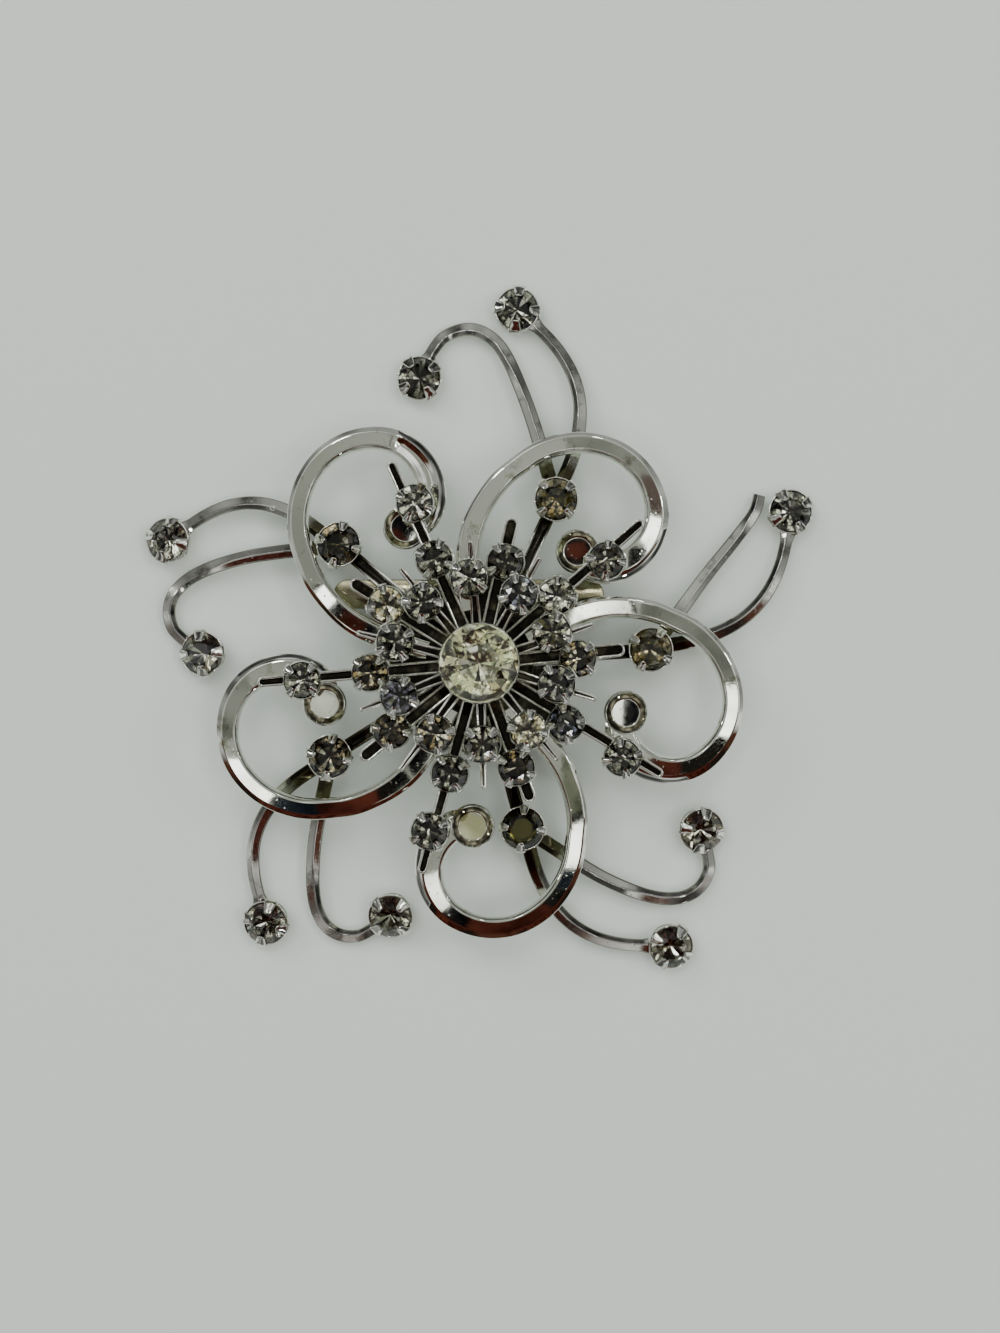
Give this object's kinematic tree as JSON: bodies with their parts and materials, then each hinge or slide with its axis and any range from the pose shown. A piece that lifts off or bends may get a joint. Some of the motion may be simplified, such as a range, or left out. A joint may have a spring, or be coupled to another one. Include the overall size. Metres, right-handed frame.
{
  "type": "flower brooch",
  "caption": "Layered silver-tone flower brooch with looped ribbon petals, starburst rays, curved wire sprays and round faceted stones in pronged cups.",
  "frame": {"origin": "middle of the brooch's outline, on the surface that it lies on", "axes": "+Z out of the flower's face, +Y towards the top of the flower as worn, +X to its right, seen from the front"},
  "size_m": [0.0735, 0.075, 0.0163],
  "materials": {
    "back_metal": "plated, dulled",
    "silver": "bright plated with light tarnish",
    "polished_silver": "mirror polished plating with small pits",
    "clear_stone": "clear faceted, foiled back",
    "smoky_stone": "smoky faceted, foiled back"
  },
  "bodies": {
    "root": {"base_plate": "back_metal", "pin_back": "back_metal", "spray_1": "silver", "spray_2": "silver", "spray_3": "silver", "spray_4": "silver", "spray_5": "silver", "petal_1": "polished_silver", "petal_2": "polished_silver", "petal_3": "polished_silver", "petal_4": "polished_silver", "petal_5": "polished_silver", "lower_star": "silver", "upper_star": "silver", "centre_cup": "silver", "centre_stone": "clear_stone", "upper_stone_1": "clear_stone", "upper_stone_2": "clear_stone", "upper_stone_3": "clear_stone", "upper_stone_4": "clear_stone", "upper_stone_5": "clear_stone", "upper_stone_6": "clear_stone", "upper_stone_7": "clear_stone", "upper_stone_8": "clear_stone", "upper_stone_9": "clear_stone", "upper_stone_10": "clear_stone", "lower_stone_1": "clear_stone", "lower_stone_2": "clear_stone", "lower_stone_3": "clear_stone", "lower_stone_4": "clear_stone", "lower_stone_5": "clear_stone", "lower_stone_6": "clear_stone", "lower_stone_7": "clear_stone", "lower_stone_8": "clear_stone", "lower_stone_9": "clear_stone", "lower_stone_10": "clear_stone", "spoke_stone_1": "clear_stone", "spoke_stone_2": "clear_stone", "spoke_stone_3": "clear_stone", "spoke_stone_4": "clear_stone", "spoke_stone_5": "clear_stone", "fork_stone_1": "smoky_stone", "fork_stone_2": "smoky_stone", "fork_stone_3": "smoky_stone", "fork_stone_4": "smoky_stone", "fork_stone_5": "smoky_stone", "end_stone_1": "smoky_stone", "end_stone_2": "smoky_stone", "end_stone_3": "smoky_stone", "end_stone_4": "smoky_stone", "end_stone_5": "smoky_stone", "end_stone_6": "smoky_stone", "end_stone_7": "smoky_stone", "end_stone_8": "smoky_stone", "end_stone_9": "smoky_stone"}
  },
  "joints": []
}
